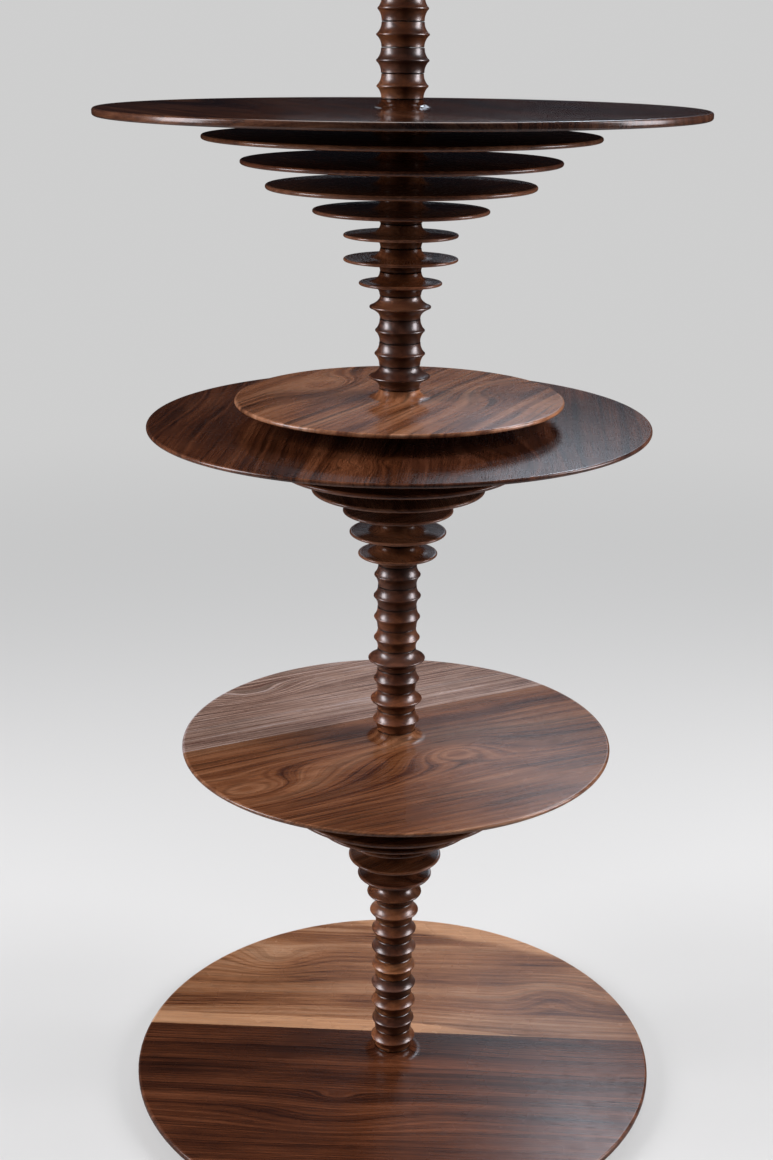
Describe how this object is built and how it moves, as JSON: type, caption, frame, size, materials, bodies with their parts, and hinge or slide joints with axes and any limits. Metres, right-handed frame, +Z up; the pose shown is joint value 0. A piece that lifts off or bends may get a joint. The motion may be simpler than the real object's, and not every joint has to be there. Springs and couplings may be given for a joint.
{
  "type": "tiered ring tower",
  "caption": "Tall free-standing walnut tower: turned rings on a steel rod flare into round shelves, and each ring turns on its own.",
  "frame": {"origin": "on the floor, on the tower's axis", "axes": "+Z up along the tie rod, X and Y level; the picture looks along +Y"},
  "size_m": [0.554, 0.554, 1.1524],
  "materials": {
    "walnut_shelf": "satin oil, wide boards glued edge to edge",
    "walnut_disc": "satin oil over turned walnut",
    "walnut_bead": "satin oil, slightly glossier on the turned edges",
    "steel": "zinc plated",
    "felt": "dense dark wool felt"
  },
  "bodies": {
    "stand": {"felt_ring": "felt", "base_shelf": "walnut_shelf", "base_nut": "steel", "base_washer": "steel", "top_washer": "steel", "spring_washer": "steel", "top_nut": "steel", "tie_rod": "steel"},
    "lower_bead_1": {"lower_bead_1": "walnut_bead"},
    "lower_bead_2": {"lower_bead_2": "walnut_bead"},
    "lower_bead_3": {"lower_bead_3": "walnut_bead"},
    "lower_bead_4": {"lower_bead_4": "walnut_bead"},
    "lower_bead_5": {"lower_bead_5": "walnut_bead"},
    "lower_bead_6": {"lower_bead_6": "walnut_bead"},
    "lower_bead_7": {"lower_bead_7": "walnut_bead"},
    "lower_bead_8": {"lower_bead_8": "walnut_bead"},
    "lower_flare_1": {"lower_flare_1": "walnut_disc"},
    "lower_flare_2": {"lower_flare_2": "walnut_disc"},
    "lower_flare_3": {"lower_flare_3": "walnut_disc"},
    "lower_flare_4": {"lower_flare_4": "walnut_disc"},
    "lower_flare_5": {"lower_flare_5": "walnut_disc"},
    "lower_flare_6": {"lower_flare_6": "walnut_disc"},
    "lower_flare_7": {"lower_flare_7": "walnut_disc"},
    "lower_flare_8": {"lower_flare_8": "walnut_disc"},
    "lower_shelf": {"lower_shelf": "walnut_shelf"},
    "middle_bead_1": {"middle_bead_1": "walnut_bead"},
    "middle_bead_2": {"middle_bead_2": "walnut_bead"},
    "middle_bead_3": {"middle_bead_3": "walnut_bead"},
    "middle_bead_4": {"middle_bead_4": "walnut_bead"},
    "middle_bead_5": {"middle_bead_5": "walnut_bead"},
    "middle_bead_6": {"middle_bead_6": "walnut_bead"},
    "middle_bead_7": {"middle_bead_7": "walnut_bead"},
    "middle_bead_8": {"middle_bead_8": "walnut_bead"},
    "middle_flare_1": {"middle_flare_1": "walnut_disc"},
    "middle_flare_2": {"middle_flare_2": "walnut_disc"},
    "middle_flare_3": {"middle_flare_3": "walnut_disc"},
    "middle_flare_4": {"middle_flare_4": "walnut_disc"},
    "middle_flare_5": {"middle_flare_5": "walnut_disc"},
    "middle_flare_6": {"middle_flare_6": "walnut_disc"},
    "middle_shelf": {"middle_shelf": "walnut_shelf"},
    "middle_tray": {"middle_tray": "walnut_shelf"},
    "upper_bead_1": {"upper_bead_1": "walnut_bead"},
    "upper_bead_2": {"upper_bead_2": "walnut_bead"},
    "upper_bead_3": {"upper_bead_3": "walnut_bead"},
    "upper_bead_4": {"upper_bead_4": "walnut_bead"},
    "upper_flare_1": {"upper_flare_1": "walnut_disc"},
    "upper_flare_2": {"upper_flare_2": "walnut_disc"},
    "upper_flare_3": {"upper_flare_3": "walnut_disc"},
    "upper_flare_4": {"upper_flare_4": "walnut_disc"},
    "upper_flare_5": {"upper_flare_5": "walnut_disc"},
    "upper_flare_6": {"upper_flare_6": "walnut_disc"},
    "upper_flare_7": {"upper_flare_7": "walnut_disc"},
    "top_shelf": {"top_shelf": "walnut_shelf"},
    "top_bead_1": {"top_bead_1": "walnut_bead"},
    "top_bead_2": {"top_bead_2": "walnut_bead"},
    "top_bead_3": {"top_bead_3": "walnut_bead"},
    "top_bead_4": {"top_bead_4": "walnut_bead"},
    "finial_cap": {"finial_cap": "walnut_bead"}
  },
  "joints": [
    {"name": "finial_cap_lift", "type": "slide", "parent": "stand", "child": "finial_cap", "axis": [0, 0, 1], "range_m": [0, 0.03]},
    {"name": "top_shelf_turn", "type": "hinge", "parent": "stand", "child": "top_shelf", "pos_m": [0, 0, 1.0033], "axis": [0, 0, 1], "continuous": true},
    {"name": "middle_tray_turn", "type": "hinge", "parent": "stand", "child": "middle_tray", "pos_m": [0, 0, 0.7393], "axis": [0, 0, 1], "continuous": true},
    {"name": "middle_shelf_turn", "type": "hinge", "parent": "stand", "child": "middle_shelf", "pos_m": [0, 0, 0.7173], "axis": [0, 0, 1], "continuous": true},
    {"name": "lower_shelf_turn", "type": "hinge", "parent": "stand", "child": "lower_shelf", "pos_m": [0, 0, 0.3873], "axis": [0, 0, 1], "continuous": true},
    {"name": "upper_flare_7_turn", "type": "hinge", "parent": "stand", "child": "upper_flare_7", "pos_m": [0, 0, 0.9813], "axis": [0, 0, 1], "continuous": true},
    {"name": "upper_flare_6_turn", "type": "hinge", "parent": "stand", "child": "upper_flare_6", "pos_m": [0, 0, 0.9593], "axis": [0, 0, 1], "continuous": true},
    {"name": "upper_flare_5_turn", "type": "hinge", "parent": "stand", "child": "upper_flare_5", "pos_m": [0, 0, 0.9373], "axis": [0, 0, 1], "continuous": true},
    {"name": "upper_flare_4_turn", "type": "hinge", "parent": "stand", "child": "upper_flare_4", "pos_m": [0, 0, 0.9153], "axis": [0, 0, 1], "continuous": true},
    {"name": "upper_flare_3_turn", "type": "hinge", "parent": "stand", "child": "upper_flare_3", "pos_m": [0, 0, 0.8933], "axis": [0, 0, 1], "continuous": true},
    {"name": "upper_flare_2_turn", "type": "hinge", "parent": "stand", "child": "upper_flare_2", "pos_m": [0, 0, 0.8713], "axis": [0, 0, 1], "continuous": true},
    {"name": "upper_flare_1_turn", "type": "hinge", "parent": "stand", "child": "upper_flare_1", "pos_m": [0, 0, 0.8493], "axis": [0, 0, 1], "continuous": true},
    {"name": "middle_flare_6_turn", "type": "hinge", "parent": "stand", "child": "middle_flare_6", "pos_m": [0, 0, 0.6953], "axis": [0, 0, 1], "continuous": true},
    {"name": "middle_flare_5_turn", "type": "hinge", "parent": "stand", "child": "middle_flare_5", "pos_m": [0, 0, 0.6733], "axis": [0, 0, 1], "continuous": true},
    {"name": "middle_flare_4_turn", "type": "hinge", "parent": "stand", "child": "middle_flare_4", "pos_m": [0, 0, 0.6513], "axis": [0, 0, 1], "continuous": true},
    {"name": "middle_flare_3_turn", "type": "hinge", "parent": "stand", "child": "middle_flare_3", "pos_m": [0, 0, 0.6293], "axis": [0, 0, 1], "continuous": true},
    {"name": "middle_flare_2_turn", "type": "hinge", "parent": "stand", "child": "middle_flare_2", "pos_m": [0, 0, 0.6073], "axis": [0, 0, 1], "continuous": true},
    {"name": "middle_flare_1_turn", "type": "hinge", "parent": "stand", "child": "middle_flare_1", "pos_m": [0, 0, 0.5853], "axis": [0, 0, 1], "continuous": true},
    {"name": "lower_flare_8_turn", "type": "hinge", "parent": "stand", "child": "lower_flare_8", "pos_m": [0, 0, 0.3653], "axis": [0, 0, 1], "continuous": true},
    {"name": "lower_flare_7_turn", "type": "hinge", "parent": "stand", "child": "lower_flare_7", "pos_m": [0, 0, 0.3433], "axis": [0, 0, 1], "continuous": true},
    {"name": "lower_flare_6_turn", "type": "hinge", "parent": "stand", "child": "lower_flare_6", "pos_m": [0, 0, 0.3213], "axis": [0, 0, 1], "continuous": true},
    {"name": "lower_flare_5_turn", "type": "hinge", "parent": "stand", "child": "lower_flare_5", "pos_m": [0, 0, 0.2993], "axis": [0, 0, 1], "continuous": true},
    {"name": "lower_flare_4_turn", "type": "hinge", "parent": "stand", "child": "lower_flare_4", "pos_m": [0, 0, 0.2773], "axis": [0, 0, 1], "continuous": true},
    {"name": "lower_flare_3_turn", "type": "hinge", "parent": "stand", "child": "lower_flare_3", "pos_m": [0, 0, 0.2553], "axis": [0, 0, 1], "continuous": true},
    {"name": "lower_flare_2_turn", "type": "hinge", "parent": "stand", "child": "lower_flare_2", "pos_m": [0, 0, 0.2333], "axis": [0, 0, 1], "continuous": true},
    {"name": "lower_flare_1_turn", "type": "hinge", "parent": "stand", "child": "lower_flare_1", "pos_m": [0, 0, 0.2113], "axis": [0, 0, 1], "continuous": true},
    {"name": "top_bead_4_turn", "type": "hinge", "parent": "stand", "child": "top_bead_4", "pos_m": [0, 0, 1.0913], "axis": [0, 0, 1], "continuous": true},
    {"name": "top_bead_3_turn", "type": "hinge", "parent": "stand", "child": "top_bead_3", "pos_m": [0, 0, 1.0693], "axis": [0, 0, 1], "continuous": true},
    {"name": "top_bead_2_turn", "type": "hinge", "parent": "stand", "child": "top_bead_2", "pos_m": [0, 0, 1.0473], "axis": [0, 0, 1], "continuous": true},
    {"name": "top_bead_1_turn", "type": "hinge", "parent": "stand", "child": "top_bead_1", "pos_m": [0, 0, 1.0253], "axis": [0, 0, 1], "continuous": true},
    {"name": "upper_bead_4_turn", "type": "hinge", "parent": "stand", "child": "upper_bead_4", "pos_m": [0, 0, 0.8273], "axis": [0, 0, 1], "continuous": true},
    {"name": "upper_bead_3_turn", "type": "hinge", "parent": "stand", "child": "upper_bead_3", "pos_m": [0, 0, 0.8053], "axis": [0, 0, 1], "continuous": true},
    {"name": "upper_bead_2_turn", "type": "hinge", "parent": "stand", "child": "upper_bead_2", "pos_m": [0, 0, 0.7833], "axis": [0, 0, 1], "continuous": true},
    {"name": "upper_bead_1_turn", "type": "hinge", "parent": "stand", "child": "upper_bead_1", "pos_m": [0, 0, 0.7613], "axis": [0, 0, 1], "continuous": true},
    {"name": "middle_bead_8_turn", "type": "hinge", "parent": "stand", "child": "middle_bead_8", "pos_m": [0, 0, 0.5633], "axis": [0, 0, 1], "continuous": true},
    {"name": "middle_bead_7_turn", "type": "hinge", "parent": "stand", "child": "middle_bead_7", "pos_m": [0, 0, 0.5413], "axis": [0, 0, 1], "continuous": true},
    {"name": "middle_bead_6_turn", "type": "hinge", "parent": "stand", "child": "middle_bead_6", "pos_m": [0, 0, 0.5193], "axis": [0, 0, 1], "continuous": true},
    {"name": "middle_bead_5_turn", "type": "hinge", "parent": "stand", "child": "middle_bead_5", "pos_m": [0, 0, 0.4973], "axis": [0, 0, 1], "continuous": true},
    {"name": "middle_bead_4_turn", "type": "hinge", "parent": "stand", "child": "middle_bead_4", "pos_m": [0, 0, 0.4753], "axis": [0, 0, 1], "continuous": true},
    {"name": "middle_bead_3_turn", "type": "hinge", "parent": "stand", "child": "middle_bead_3", "pos_m": [0, 0, 0.4533], "axis": [0, 0, 1], "continuous": true},
    {"name": "middle_bead_2_turn", "type": "hinge", "parent": "stand", "child": "middle_bead_2", "pos_m": [0, 0, 0.4313], "axis": [0, 0, 1], "continuous": true},
    {"name": "middle_bead_1_turn", "type": "hinge", "parent": "stand", "child": "middle_bead_1", "pos_m": [0, 0, 0.4093], "axis": [0, 0, 1], "continuous": true},
    {"name": "lower_bead_8_turn", "type": "hinge", "parent": "stand", "child": "lower_bead_8", "pos_m": [0, 0, 0.1893], "axis": [0, 0, 1], "continuous": true},
    {"name": "lower_bead_7_turn", "type": "hinge", "parent": "stand", "child": "lower_bead_7", "pos_m": [0, 0, 0.1673], "axis": [0, 0, 1], "continuous": true},
    {"name": "lower_bead_6_turn", "type": "hinge", "parent": "stand", "child": "lower_bead_6", "pos_m": [0, 0, 0.1453], "axis": [0, 0, 1], "continuous": true},
    {"name": "lower_bead_5_turn", "type": "hinge", "parent": "stand", "child": "lower_bead_5", "pos_m": [0, 0, 0.1233], "axis": [0, 0, 1], "continuous": true},
    {"name": "lower_bead_4_turn", "type": "hinge", "parent": "stand", "child": "lower_bead_4", "pos_m": [0, 0, 0.1013], "axis": [0, 0, 1], "continuous": true},
    {"name": "lower_bead_3_turn", "type": "hinge", "parent": "stand", "child": "lower_bead_3", "pos_m": [0, 0, 0.0793], "axis": [0, 0, 1], "continuous": true},
    {"name": "lower_bead_2_turn", "type": "hinge", "parent": "stand", "child": "lower_bead_2", "pos_m": [0, 0, 0.0573], "axis": [0, 0, 1], "continuous": true},
    {"name": "lower_bead_1_turn", "type": "hinge", "parent": "stand", "child": "lower_bead_1", "pos_m": [0, 0, 0.0353], "axis": [0, 0, 1], "continuous": true}
  ]
}
